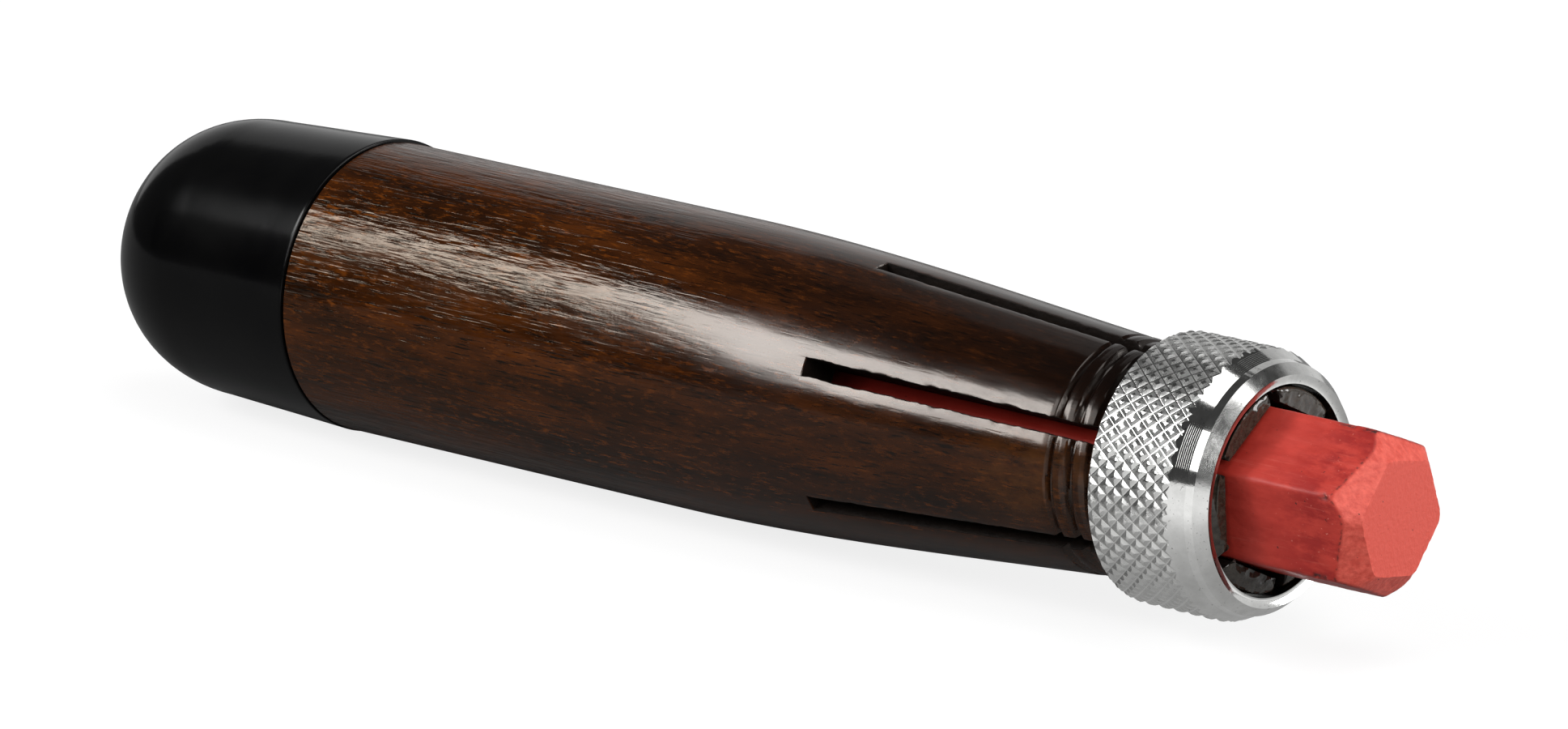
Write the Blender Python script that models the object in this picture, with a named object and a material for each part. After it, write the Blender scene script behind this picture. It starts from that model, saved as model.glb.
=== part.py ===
"""Lumber crayon holder, lying on its side.

A turned hardwood handle has its nose sawn into six jaws. A knurled ring screws over the
jaws and closes them on a hexagonal crayon, and a domed push-on cap covers the rear end.

Lengths are in metres and angles in radians. The holder's axis runs along +X, crayon
forward. Places along it are measured from the handle's rear shoulder, where the cap ends.
The holder rests on the plane z = 0 with the middle of its length over the origin.
"""

import math

import bmesh
import bpy
from mathutils import Matrix, Vector

# Crayon: a hexagonal stick whose tip has been shaved by six slanting cuts
HEX_SIDES = 6
CRAYON_ACROSS_FLATS = 0.0127
CRAYON_LENGTH = 0.1143
CRAYON_REACH = 0.01205
CRAYON_TAIL = 0.0018
CRAYON_TWIST = math.radians(3.0)
TIP_SHAVE_DEPTH = 0.0016
TIP_SHAVE_SLOPE = math.radians(46.0)
TIP_SHAVE_TURN = math.radians(-17.0)

# Handle: bored through, with a straight grip, a curved taper and a threaded nose
BORE_CLEARANCE = 0.0006
GRIP_WALL = 0.00502
GRIP_DROP = 0.00018
SHOULDER_CHAMFER = 0.0003
TAPER_LENGTH = 0.0435
TAPER_END_SLOPE = math.radians(4.6)
NOSE_LENGTH = 0.0165
NOSE_RISE = 0.00155
NOSE_CHAMFER = 0.0004

# Jaws: slots along the hexagon's corners, with a hexagonal socket between them
JAW_ROLL = math.radians(34.0)
JAW_CLEARANCE = 0.0002
JAW_WALL = 0.00177
SLOT_LENGTH = 0.0414
SLOT_WIDTH = 0.00155
SLOT_NOSE_WIDTH = 0.00125
BORE_OVERRUN = 0.0010

# Spigot at the rear of the handle, which fills the cap's skirt
SPIGOT_CHAMFER = 0.0006
CAP_FIT_GAP = 0.0003

# Cap: slightly conical skirt and a full dome
CAP_PROUD = 0.0004
CAP_WALL = 0.0016
CAP_SKIRT_LENGTH = 0.0145
CAP_SKIRT_DRAFT = math.radians(2.3)
CAP_DOME_LENGTH = 0.0128
CAP_DOME_FULLNESS = 2.2
CAP_LIP_ROUND = 0.00025

# Ring: knurled band, three bevels stepping in to the front edge, slightly dished front
RING_WALL = 0.00252
KNURL_LENGTH = 0.0080
KNURL_EDGE = 0.0003
FIRST_BEVEL_LENGTH = 0.00157
FIRST_BEVEL_DROP = 0.00074
SECOND_BEVEL_LENGTH = 0.0007
SECOND_BEVEL_DROP = 0.00016
THIRD_BEVEL_LENGTH = 0.00098
THIRD_BEVEL_DROP = 0.00083
FRONT_DISH = 0.0003
RING_OVERHANG = 0.00045
RING_FIT_GAP = 0.00033

# Facets of the turned pieces and points on their curves
TURN_STEPS = 48
TAPER_POINTS = 12
DOME_POINTS = 10
SHARP_EDGE = math.radians(25.0)
WELD_DISTANCE = 1e-6

# Places and sizes that follow from the ones above
CRAYON_APOTHEM = CRAYON_ACROSS_FLATS / 2
CRAYON_CORNER = CRAYON_APOTHEM / math.cos(math.pi / HEX_SIDES)
TWISTED_APOTHEM = CRAYON_CORNER * math.cos(math.pi / HEX_SIDES - abs(CRAYON_TWIST))
SOCKET_APOTHEM = TWISTED_APOTHEM + JAW_CLEARANCE
BORE_RADIUS = CRAYON_CORNER + BORE_CLEARANCE
GRIP_RADIUS = BORE_RADIUS + GRIP_WALL
GRIP_END_RADIUS = GRIP_RADIUS - GRIP_DROP
NOSE_RADIUS = SOCKET_APOTHEM + JAW_WALL
TAPER_END_RADIUS = NOSE_RADIUS + NOSE_RISE
KNURL_RADIUS = NOSE_RADIUS + RING_FIT_GAP + RING_WALL
CAP_LIP_RADIUS = GRIP_RADIUS + CAP_PROUD
CRAYON_TIP = CRAYON_LENGTH - CRAYON_TAIL
RING_FRONT = CRAYON_TIP - CRAYON_REACH
BEVELS_LENGTH = FIRST_BEVEL_LENGTH + SECOND_BEVEL_LENGTH + THIRD_BEVEL_LENGTH
RING_REAR = RING_FRONT - BEVELS_LENGTH - KNURL_LENGTH
NOSE_END = RING_FRONT - RING_OVERHANG
NOSE_START = NOSE_END - NOSE_LENGTH
GRIP_LENGTH = NOSE_START - TAPER_LENGTH
SLOT_START = NOSE_END - SLOT_LENGTH
CAP_LIP = -CAP_FIT_GAP
LIP_EDGE = CAP_LIP - CAP_LIP_ROUND
SKIRT_REAR = CAP_LIP - CAP_SKIRT_LENGTH
CAP_TIP = SKIRT_REAR - CAP_DOME_LENGTH
HALF_STEP = math.pi / TURN_STEPS
AXIS_HEIGHT = CAP_LIP_RADIUS * math.cos(HALF_STEP)
AXIS_MIDDLE = (CAP_TIP + CRAYON_TIP) / 2
CUT_MARGIN = 2 * GRIP_RADIUS


def clear_scene():
    for old in list(bpy.data.objects):
        bpy.data.objects.remove(old)


def make_material(name, colour, roughness, metallic=0.0):
    material = bpy.data.materials.new(name)
    material.use_nodes = True
    shader = material.node_tree.nodes["Principled BSDF"]
    shader.inputs["Base Color"].default_value = (*colour, 1.0)
    shader.inputs["Roughness"].default_value = roughness
    shader.inputs["Metallic"].default_value = metallic
    material.diffuse_color = (*colour, 1.0)
    return material


def add_object(name, bm, axis, material=None):
    """Turn a bmesh into an object carried by the axis empty."""
    mesh = bpy.data.meshes.new(name)
    bmesh.ops.recalc_face_normals(bm, faces=bm.faces)
    bm.to_mesh(mesh)
    bm.free()
    obj = bpy.data.objects.new(name, mesh)
    obj.parent = axis
    bpy.context.scene.collection.objects.link(obj)
    if material:
        mesh.materials.append(material)
        mesh.shade_smooth()
        mesh.set_sharp_from_angle(angle=SHARP_EDGE)
    return obj


def spin_outline(outline):
    """Spin a closed outline of (x, radius) points round the X axis, with a flat underneath."""
    bm = bmesh.new()
    verts = [bm.verts.new((x, 0.0, radius)) for x, radius in outline]
    edges = [bm.edges.new(pair) for pair in zip(verts, verts[1:] + verts[:1])]
    bmesh.ops.spin(
        bm, geom=verts + edges, cent=(0, 0, 0), axis=(1, 0, 0),
        angle=2 * math.pi, steps=TURN_STEPS, use_merge=True,
    )
    bmesh.ops.remove_doubles(bm, verts=bm.verts, dist=WELD_DISTANCE)
    bmesh.ops.rotate(bm, verts=bm.verts, cent=(0, 0, 0), matrix=Matrix.Rotation(HALF_STEP, 3, "X"))
    return bm


def hex_prism(apothem, rear, front, roll):
    """A hexagonal bar along X, with one corner at the roll angle from +Y towards +Z."""
    bm = bmesh.new()
    radius = apothem / math.cos(math.pi / HEX_SIDES)
    angles = [roll + 2 * math.pi * side / HEX_SIDES for side in range(HEX_SIDES)]
    corners = [(radius * math.cos(angle), radius * math.sin(angle)) for angle in angles]
    face = bm.faces.new([bm.verts.new((rear, y, z)) for y, z in corners])
    pulled = bmesh.ops.extrude_face_region(bm, geom=[face])
    moved = [item for item in pulled["geom"] if isinstance(item, bmesh.types.BMVert)]
    bmesh.ops.translate(bm, verts=moved, vec=(front - rear, 0, 0))
    return bm


def cut(obj, cutter):
    cutter.hide_render = True
    cutter.display_type = "WIRE"
    modifier = obj.modifiers.new("cut by " + cutter.name, "BOOLEAN")
    modifier.operation = "DIFFERENCE"
    modifier.solver = "EXACT"
    modifier.object = cutter


def nose_radius(x):
    """Radius of the nose's plain cone, which the ring's bore follows."""
    share = (x - NOSE_START) / NOSE_LENGTH
    return TAPER_END_RADIUS + share * (NOSE_RADIUS - TAPER_END_RADIUS)


def taper_radius(share):
    """Radius along the taper: a cubic that leaves the grip and meets the nose smoothly."""
    start_slope = (GRIP_END_RADIUS - GRIP_RADIUS) / GRIP_LENGTH
    end_slope = -math.tan(TAPER_END_SLOPE)
    rise = share * share * (3 - 2 * share)
    leave = share * (1 - share) ** 2 * TAPER_LENGTH * start_slope
    meet = share * share * (share - 1) * TAPER_LENGTH * end_slope
    return GRIP_END_RADIUS + rise * (TAPER_END_RADIUS - GRIP_END_RADIUS) + leave + meet


def skirt_radius(x):
    """Outer radius of the cap's skirt, which narrows towards the rear."""
    return CAP_LIP_RADIUS + (x - LIP_EDGE) * math.tan(CAP_SKIRT_DRAFT)


def spigot_radius(x):
    return skirt_radius(x) - CAP_WALL - CAP_FIT_GAP


def handle_outline():
    taper = [
        (GRIP_LENGTH + TAPER_LENGTH * step / TAPER_POINTS, taper_radius(step / TAPER_POINTS))
        for step in range(TAPER_POINTS + 1)
    ]
    pilot = CRAYON_APOTHEM / 2
    return [
        (SKIRT_REAR, BORE_RADIUS),
        (SKIRT_REAR, spigot_radius(SKIRT_REAR) - SPIGOT_CHAMFER),
        (SKIRT_REAR + SPIGOT_CHAMFER, spigot_radius(SKIRT_REAR + SPIGOT_CHAMFER)),
        (0.0, spigot_radius(0.0)),
        (0.0, GRIP_RADIUS - SHOULDER_CHAMFER),
        (SHOULDER_CHAMFER, GRIP_RADIUS),
        *taper,
        (NOSE_END - NOSE_CHAMFER, nose_radius(NOSE_END - NOSE_CHAMFER)),
        (NOSE_END, NOSE_RADIUS - NOSE_CHAMFER),
        (NOSE_END, pilot),
        (SLOT_START + BORE_OVERRUN, pilot),
        (SLOT_START + BORE_OVERRUN, BORE_RADIUS),
    ]


def slot_cutter(axis, index):
    """A blade-shaped cutter that runs from the axis out past the wood, narrower at the nose."""
    bm = bmesh.new()
    bmesh.ops.create_cube(bm, size=1.0)
    length = SLOT_LENGTH + CUT_MARGIN
    narrowing = (SLOT_WIDTH - SLOT_NOSE_WIDTH) / SLOT_LENGTH
    for vert in bm.verts:
        ahead = length * (vert.co.x + 0.5)
        width = SLOT_WIDTH - narrowing * min(ahead, SLOT_LENGTH)
        vert.co = Vector((SLOT_START + ahead, CUT_MARGIN * (vert.co.y + 0.5), width * vert.co.z))
    roll = JAW_ROLL + 2 * math.pi * index / HEX_SIDES
    bmesh.ops.rotate(bm, verts=bm.verts, cent=(0, 0, 0), matrix=Matrix.Rotation(roll, 3, "X"))
    return add_object(f"slot_cutter_{index + 1}", bm, axis)


def make_handle(axis):
    wood = make_material("stained wood", (0.060, 0.022, 0.010), 0.35)
    handle = add_object("handle", spin_outline(handle_outline()), axis, wood)
    socket_rear = SLOT_START - BORE_OVERRUN
    socket = hex_prism(SOCKET_APOTHEM, socket_rear, NOSE_END + CUT_MARGIN, JAW_ROLL)
    cut(handle, add_object("jaw_socket_cutter", socket, axis))
    for index in range(HEX_SIDES):
        cut(handle, slot_cutter(axis, index))
    return handle


def make_ring(axis):
    aluminium = make_material("aluminium", (0.78, 0.78, 0.79), 0.28, 1.0)
    knurl_end = RING_REAR + KNURL_LENGTH
    first_end = knurl_end + FIRST_BEVEL_LENGTH
    second_end = first_end + SECOND_BEVEL_LENGTH
    first_radius = KNURL_RADIUS - FIRST_BEVEL_DROP
    second_radius = first_radius - SECOND_BEVEL_DROP
    bore_front = RING_FRONT - FRONT_DISH
    outline = [
        (RING_REAR, nose_radius(RING_REAR) + RING_FIT_GAP),
        (RING_REAR, KNURL_RADIUS - KNURL_EDGE),
        (RING_REAR + KNURL_EDGE, KNURL_RADIUS),
        (knurl_end, KNURL_RADIUS),
        (first_end, first_radius),
        (second_end, second_radius),
        (RING_FRONT, second_radius - THIRD_BEVEL_DROP),
        (bore_front, nose_radius(bore_front) + RING_FIT_GAP),
    ]
    return add_object("locking_ring", spin_outline(outline), axis, aluminium)


def dome_points(radius, length):
    """Quarter of a full, slightly squared ellipse, from the skirt to the tip of the dome."""
    power = 2 / CAP_DOME_FULLNESS
    points = []
    for step in range(1, DOME_POINTS):
        angle = math.pi / 2 * step / DOME_POINTS
        drop = length * math.sin(angle) ** power
        points.append((SKIRT_REAR - drop, radius * math.cos(angle) ** power))
    return points + [(SKIRT_REAR - length, 0.0)]


def make_cap(axis):
    vinyl = make_material("black vinyl", (0.012, 0.012, 0.013), 0.38)
    outer = skirt_radius(SKIRT_REAR)
    inner = outer - CAP_WALL
    outline = [
        (CAP_LIP, CAP_LIP_RADIUS - CAP_LIP_ROUND),
        (LIP_EDGE, CAP_LIP_RADIUS),
        (SKIRT_REAR, outer),
        *dome_points(outer, CAP_DOME_LENGTH),
        *reversed(dome_points(inner, CAP_DOME_LENGTH - CAP_WALL)),
        (SKIRT_REAR, inner),
        (CAP_LIP, CAP_LIP_RADIUS - CAP_WALL),
    ]
    return add_object("end_cap", spin_outline(outline), axis, vinyl)


def shave_tip(bm, corner):
    """Slice the six slanting facets off the crayon's tip and close each cut."""
    face_apothem = CRAYON_APOTHEM - TIP_SHAVE_DEPTH
    for side in range(HEX_SIDES):
        angle = corner + TIP_SHAVE_TURN + 2 * math.pi * side / HEX_SIDES
        outward = Vector((0, math.cos(angle), math.sin(angle)))
        normal = outward * math.cos(TIP_SHAVE_SLOPE) + Vector((math.sin(TIP_SHAVE_SLOPE), 0, 0))
        point = outward * face_apothem + Vector((CRAYON_TIP, 0, 0))
        geometry = bm.verts[:] + bm.edges[:] + bm.faces[:]
        bmesh.ops.bisect_plane(
            bm, geom=geometry, dist=WELD_DISTANCE, plane_co=point, plane_no=normal, clear_outer=True,
        )
        rim = [edge for edge in bm.edges if edge.is_boundary]
        bmesh.ops.edgeloop_fill(bm, edges=rim)


def make_crayon(axis):
    wax = make_material("red wax", (0.58, 0.045, 0.030), 0.6)
    corner = JAW_ROLL + CRAYON_TWIST
    bm = hex_prism(CRAYON_APOTHEM, CRAYON_TIP - CRAYON_LENGTH, CRAYON_TIP, corner)
    bmesh.ops.recalc_face_normals(bm, faces=bm.faces)
    shave_tip(bm, corner)
    crayon = add_object("crayon", bm, axis, wax)
    crayon.data.shade_flat()
    return crayon


def main():
    clear_scene()
    axis = bpy.data.objects.new("holder_axis", None)
    axis.location = (-AXIS_MIDDLE, 0.0, AXIS_HEIGHT)
    bpy.context.scene.collection.objects.link(axis)
    make_handle(axis)
    make_ring(axis)
    make_cap(axis)
    make_crayon(axis)


main()
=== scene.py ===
"""Looks of the lumber crayon holder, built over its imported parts.

Sizes are in millimetres, those of the camera and the studio in metres. Places along the holder
run from the handle's rear shoulder (0) to the crayon's tip, and angles turn about the axis
from +Y towards +Z.
"""

from math import asin, atan2, cos, pi, radians, sin, sqrt, tan

import bmesh
import bpy
import numpy as np
from mathutils import Matrix, Vector, noise


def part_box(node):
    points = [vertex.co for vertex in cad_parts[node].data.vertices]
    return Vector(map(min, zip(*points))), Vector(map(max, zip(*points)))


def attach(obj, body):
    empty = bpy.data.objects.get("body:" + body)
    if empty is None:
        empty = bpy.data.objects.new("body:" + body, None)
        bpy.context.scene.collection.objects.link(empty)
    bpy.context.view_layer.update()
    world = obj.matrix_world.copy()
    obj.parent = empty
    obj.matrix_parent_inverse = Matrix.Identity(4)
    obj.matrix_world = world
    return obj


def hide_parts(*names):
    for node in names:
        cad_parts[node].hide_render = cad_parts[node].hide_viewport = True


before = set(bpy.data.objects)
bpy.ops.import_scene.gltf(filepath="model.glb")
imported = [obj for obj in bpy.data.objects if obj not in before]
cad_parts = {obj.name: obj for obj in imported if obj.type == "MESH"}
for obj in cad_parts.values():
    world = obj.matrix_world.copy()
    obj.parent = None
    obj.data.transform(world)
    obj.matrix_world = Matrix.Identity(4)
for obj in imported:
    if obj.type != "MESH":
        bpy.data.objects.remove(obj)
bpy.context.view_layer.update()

MM = 0.001

# The photo's camera, and the angle about the axis that faces it, in degrees
PHOTO_WIDTH_PX = 1937
PHOTO_FOCAL_PX = 10000
SENSOR_WIDTH = 36.0
CAMERA_AZIMUTH = 41.197
CAMERA_ELEVATION = 15.038
CAMERA_TARGET = Vector((0.00294, 0.00184, 0.01384))
CAMERA_DISTANCE = 0.69
CAMERA_CLIP = (0.01, 50.0)
FACING_ANGLE = 160.35

# Noise of the shapes: fall-off and step of its octaves, and its shift for each seed
NOISE_SHAPE = (0.8, 2.0)
SEED_STEPS = (17.3, 5.1, 9.7)

# Fits taken from the part, with one jaw on each face of the hexagonal crayon
CAP_FIT_GAP = 0.3
CAP_LIP_REACH = 0.2
BORE_RADIUS = 7.93
SOCKET_APOTHEM = 6.733
SOCKET_ROLL = radians(34.0)
JAWS = 6
JAW_STEP = 2 * pi / JAWS

# Places read from the frame
CAP_LOW, CAP_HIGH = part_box("end_cap")
AXIS_Z = (CAP_LOW.z + CAP_HIGH.z) / 2
SHOULDER_X = CAP_HIGH.x + CAP_FIT_GAP * MM


def place(world_x):
    """Place along the holder of a world X."""
    return (world_x - SHOULDER_X) / MM


CAP_TIP = place(CAP_LOW.x)
CAP_LIP = place(CAP_HIGH.x) + CAP_LIP_REACH
SPIGOT_END = place(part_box("handle")[0].x)
NOSE_END = place(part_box("handle")[1].x)
RING_REAR = place(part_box("locking_ring")[0].x)
RING_FRONT = place(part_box("locking_ring")[1].x)
CRAYON_REAR = place(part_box("crayon")[0].x)
CRAYON_TIP = place(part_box("crayon")[1].x)

# Handle
GRIP_RADIUS = 12.95
GRIP_END_RADIUS = 12.77
TAPER_END_RADIUS = 10.05
NOSE_RADIUS = 8.5
NOSE_LENGTH = 16.5
TAPER_LENGTH = 43.5
TAPER_END_SLOPE = radians(4.6)
NOSE_START = NOSE_END - NOSE_LENGTH
GRIP_LENGTH = NOSE_START - TAPER_LENGTH
SHOULDER_CHAMFER = 0.12
SPIGOT_REAR_RADIUS = 10.28
SPIGOT_FRONT_RADIUS = 11.47
SPIGOT_CHAMFER = 0.6
HANDLE_SHARP = 26
# Finishes of the handle; the sawn one is painted near-black, as shade in the slots, at their edges
# and in the bore.
VARNISHED, SAWN_SHADED, SEALED = range(3)

# Slots, their torn edges, and the skin that is rounded down towards them
SLOT_START = NOSE_END - 41.4
SLOT_WIDTH = 1.55
SLOT_NOSE_WIDTH = 1.25
SLOT_RAGGEDNESS = 0.09
TEAR_STEPS = (1.1, 7.3, 3.1)
TEAR_NOISE = (0.7, 2.2, 4)
TEAR_LEAST = -0.5
EDGE_ROUND = 0.06
EDGE_SEED = 20
EDGE_SOFTENING = 0.07
EDGE_SOFT_WIDTH = 1.5
SOFT_START = SLOT_START + 0.5
SOFT_RUN_IN = 6.0
LEAST_WALL = 0.05

# Jaw ends
NOSE_CHAMFER = 0.4
NOSE_END_SHARES = (0.35, 0.65, 0.87, 1.0)
JAW_LUMPS = 0.22
LUMP_SIZE = 1.1
LUMP_SEED = 3
LUMP_MARGIN = 0.12

# Thread on the nose, its groove and rib as shares of the pitch
THREAD_PITCH = 1.95
THREAD_DEPTH = 0.5
THREAD_START = NOSE_START + 0.1
THREAD_RUN_IN = 0.5
THREAD_GROOVE = 84.1
THREAD_GROOVE_ANGLE = radians(FACING_ANGLE + 4.9)
GROOVE_HALF = 0.25
GROOVE_FLANK = 0.22
RIB_CROWN = 0.04

# Columns of the handle's mesh: over a jaw, round its edges, down the walls, across a slot
JAW_COLUMNS = 26
EDGE_COLUMNS = 3
WALL_COLUMNS = 4
GAP_COLUMNS = 4

# Rows of the handle's mesh, and where the ring hides the thread
GRIP_ROWS = 60
SLOT_ROWS = 60
THREAD_ROWS = 56
HIDDEN_ROWS = 46
END_ROWS = len(NOSE_END_SHARES)
THREAD_HIDDEN = RING_REAR + 1

# Columns of one cut across a jaw: the skin with its edges, the two walls, the socket's flat
OUTER_RUN = JAW_COLUMNS + 2 * EDGE_COLUMNS + 1
RIGHT_WALL = [OUTER_RUN - 1 + step for step in range(WALL_COLUMNS + 1)]
LAST_COLUMN = 2 * OUTER_RUN + 2 * (WALL_COLUMNS - 1)
LEFT_WALL = [0] + [LAST_COLUMN - step for step in range(1, WALL_COLUMNS + 1)]
SOCKET_FLAT = slice(2 * OUTER_RUN + WALL_COLUMNS - 2, OUTER_RUN + WALL_COLUMNS - 2, -1)

# Knurl of the locking ring: two sets of lines, each turning by degrees for every millimetre
# along, and one cell between them, with widths as shares of the cell
KNURL_RADIUS = 11.35
KNURL_DEPTH = 0.14
KNURL_EDGE = 0.3
KNURL_RIGHT_STARTS = 46
KNURL_LEFT_STARTS = 54
KNURL_RIGHT_TURN = 5.262
KNURL_LEFT_TURN = -3.607
KNURL_CROSSING = 91.4
KNURL_CROSSING_ANGLE = 22.35
KNURL_LINE = 0.065
KNURL_TOP = 0.33
CELL_MIDDLE = 0.5
KNURL_HOLLOW = 0.0135
KNURL_CROWN = 0.022
KNURL_SPARE_LINES = 20
KNURL_FLATNESS = 1e-6
KNURL_WELD = 0.0005

# Bevels and mouth of the locking ring
BEVEL_LENGTHS = (1.57, 0.7, 0.98)
BEVEL_DROPS = (0.74, 0.16, 0.83)
BEVEL_SLOPE = BEVEL_DROPS[0] / BEVEL_LENGTHS[0]
BEVEL_CLEARANCE = 0.04
LATHE_LINES = 8
LATHE_DEPTH = 0.005
LATHE_LAND = 0.14
RING_FIT_GAP = 0.33
FRONT_DISH = 0.3
MOUTH_SHARES = (0.12, 0.3, 0.5, 0.7, 0.9, 1.0)
RING_SHARP = 11.5
TURNED, KNURLED, BURNISHED, POLISHED, SATIN = range(5)

# Cap
CAP_LIP_RADIUS = 13.13
CAP_WALL = 1.5
CAP_LIFT = 0.09
CAP_SKIRT_LENGTH = 14.5
CAP_SKIRT_DRAFT = radians(2.3)
CAP_LIP_ROUND = 0.09
CAP_LIP_STEPS = 5
CAP_LIP_BAND = 0.02
CAP_SKIRT_ROWS = 22
CAP_DOME_ROWS = 26
CAP_DOME_FULLNESS = 2.2
CAP_COLUMNS = 168
CAP_WAVE = 0.0016
CAP_WAVE_SIZE = 9.0
CAP_WAVE_SEED = 5
CAP_SHARP = 50

# Crayon
CRAYON_APOTHEM = 6.35
CRAYON_ROLL = SOCKET_ROLL + radians(3.0)
TIP_SHAVE_DEPTH = 1.6
TIP_SHAVE_SLOPE = radians(46.0)
TIP_SHAVE_TURN = radians(-17.0)
SHOWN_START = NOSE_END - 4
SHAVED_START = CRAYON_TIP - 2.4
CRAYON_ROWS = (20, 110, 40)
CRAYON_COLUMNS = 240
CRAYON_EDGE_POWER = 70
TIP_EDGE_POWER = 18
TIP_SHARES = (0.93, 0.8, 0.6, 0.4, 0.2)
CRAYON_MARKS = ("shaved", "chipped", "tip")
CRAYON_SHARP = 35

# Wear of the crayon: depths, where it sets in along the stick, and where a corner begins
SHAVED_BLEND = 0.25
RUB_DEPTH = 0.03
DRAW_DEPTH = 0.022
TEAR_DEPTH = 0.06
WEAR_DEPTH = 0.04
WEAR_START = NOSE_END - 3
WEAR_RUN_IN = 4
CHIP_DEPTH = 0.22
CHIP_SHARE = 0.05
CHIP_SOFTNESS = 0.3
CHIP_START = CRAYON_TIP - 7
CHIP_RUN_IN = 3
CORNER_START = CRAYON_APOTHEM + 0.75
CORNER_WIDTH = 0.2

# Studio, in metres, with shares of the room's radius
WHITE = (1.0, 1.0, 1.0, 1.0)
CARD_BLACK = (0.02, 0.02, 0.02, 1.0)
FLOOR_HALF = 6.0
FLOOR_GREY = (0.21, 0.21, 0.21, 1.0)
FLOOR_GLOW = 0.82
CARD_LEFT = SHOULDER_X + (RING_REAR - 4) * MM
CARD_EDGE = ((0.0, 0.25), (0.0, -0.01), (-0.025, -0.065), (-0.06, -0.25))
CARD_RIGHT = 0.4
CARD_HEIGHT = 0.0005
CARD_LIP = 0.05
CARD_SHADOW = (0.01, 0.055)
CARD_GLOW = (0.34, 0.92)
ROOM_RADIUS = 4.0
ROOM_ROWS = 37
ROOM_COLUMNS = 72
ROOM_GLOW = 0.04
BACKDROP_FRONT = 0.25
BACKDROP_TOP = 0.58
SKYLIGHT_SIDES = (-0.52, -0.33)
SKYLIGHT_FRONT = 0.28
WORLD_FILL = 0.3
WORLD_FADE_TOP = 0.5
WORLD_FADE = (0.42, 0.12)

# Soft lights: turn and rise in degrees, distance, size and radiance
LAMPS = {
    "window": (-36, 38.5, 1.2, (0.423, 0.78), 15.0),
    "dim_pane": (-16.5, 37, 1.2, (0.4, 0.7), 3.5),
    "overhead_panel": (15, 92, 1.3, (0.84, 0.74), 2.6),
    "right_fill": (62, 55, 1.4, (0.6, 0.6), 7.5),
    "back_fill": (48, 153, 1.3, (0.5, 0.5), 8.0),
}

# Black flags in front of the window: turns and rises of their corners
FLAG_DISTANCE = 1.1
FLAGS = {
    "left_flag": [(-41.5, 52.5), (-31, 20.5), (-31, 5), (-62, 5), (-62, 42), (-43, 42)],
    "top_flag": [(-41, 62.5), (-22, 43), (-22, 75), (-41, 75)],
}


def new_object(name, data):
    made = bpy.data.objects.new(name, data)
    bpy.context.scene.collection.objects.link(made)
    return made


def smooth(share):
    """Ease from 0 to 1."""
    share = np.clip(share, 0.0, 1.0)
    return share * share * (3 - 2 * share)


def rough(points, size, seed, octaves=3):
    """Noise of about -1 to 1 at each point, with features of the given size."""
    shift = Vector([seed * step for step in SEED_STEPS])
    values = [noise.fractal(Vector(p) / size + shift, *NOISE_SHAPE, octaves) for p in points]
    return np.array(values)


def ring_points(x, radius, angles):
    """Points of one loop round the axis."""
    y, z = radius * np.cos(angles), radius * np.sin(angles)
    return np.stack([np.full(angles.shape, x), y, z], axis=-1)


def angles_between(first_point, last_point, count):
    """Evenly spaced angles from one point round to another."""
    first = atan2(first_point[2], first_point[1])
    last = atan2(last_point[2], last_point[1])
    return np.linspace(first, first + (last - first) % (2 * pi), count)


def grid_faces(grid, closed):
    """Quads of a grid of vertex numbers, closed round its columns if asked."""
    last = grid.shape[1] if closed else grid.shape[1] - 1
    across = np.roll(grid, -1, axis=1)
    first = grid[:-1, :last].ravel()
    second = across[:-1, :last].ravel()
    third = across[1:, :last].ravel()
    fourth = grid[1:, :last].ravel()
    return np.stack([first, second, third, fourth], axis=-1).tolist()


class Shell:
    """Gathers the vertices and faces of one closed piece."""

    def __init__(self):
        self.points = []
        self.faces = []
        self.finishes = []
        self.marks = {}

    def add(self, points):
        """Store points and return their numbers in the same arrangement."""
        points = np.asarray(points, float)
        start = len(self.points)
        flat = points.reshape(-1, 3)
        self.points.extend(flat.tolist())
        return np.arange(start, start + len(flat)).reshape(points.shape[:-1])

    def skin(self, grid, closed=False, finish=0):
        made = grid_faces(np.asarray(grid), closed)
        self.faces.extend(made)
        self.finishes.extend([finish] * len(made))

    def fan(self, loop, point):
        """Close a loop with triangles that meet in a point."""
        centre = int(self.add([point])[0])
        for here, after in zip(loop, np.roll(loop, -1)):
            self.faces.append([int(here), int(after), centre])
            self.finishes.append(0)

    def zip(self, first, first_angles, second, second_angles):
        """Triangles between two loops round the axis, each sorted by angle."""
        first_angles = np.append(first_angles[1:], first_angles[0] + 2 * pi)
        second_angles = np.append(second_angles[1:], second_angles[0] + 2 * pi)
        i = j = 0
        while i < len(first) or j < len(second):
            here = int(first[i % len(first)])
            there = int(second[j % len(second)])
            if j == len(second) or (i < len(first) and first_angles[i] <= second_angles[j]):
                i += 1
                after = first[i % len(first)]
            else:
                j += 1
                after = second[j % len(second)]
            self.faces.append([here, int(after), there])
            self.finishes.append(0)

    def piece(self, name, body, materials, sharp):
        """Make the object, carried by its body in place of the body's CAD node."""
        mesh = bpy.data.meshes.new(name)
        mesh.from_pydata((np.array(self.points) * MM).tolist(), [], self.faces)
        mesh.polygons.foreach_set("material_index", self.finishes)
        for material in materials:
            mesh.materials.append(material)
        for mark, values in self.marks.items():
            mesh.attributes.new(mark, "FLOAT", "POINT").data.foreach_set("value", values)
        bm = bmesh.new()
        bm.from_mesh(mesh)
        bmesh.ops.recalc_face_normals(bm, faces=bm.faces)
        bm.to_mesh(mesh)
        bm.free()
        mesh.shade_smooth()
        mesh.set_sharp_from_angle(angle=radians(sharp))
        made = new_object(name, mesh)
        made.location = (SHOULDER_X, 0.0, AXIS_Z)
        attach(made, body)
        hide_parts(body)


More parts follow.
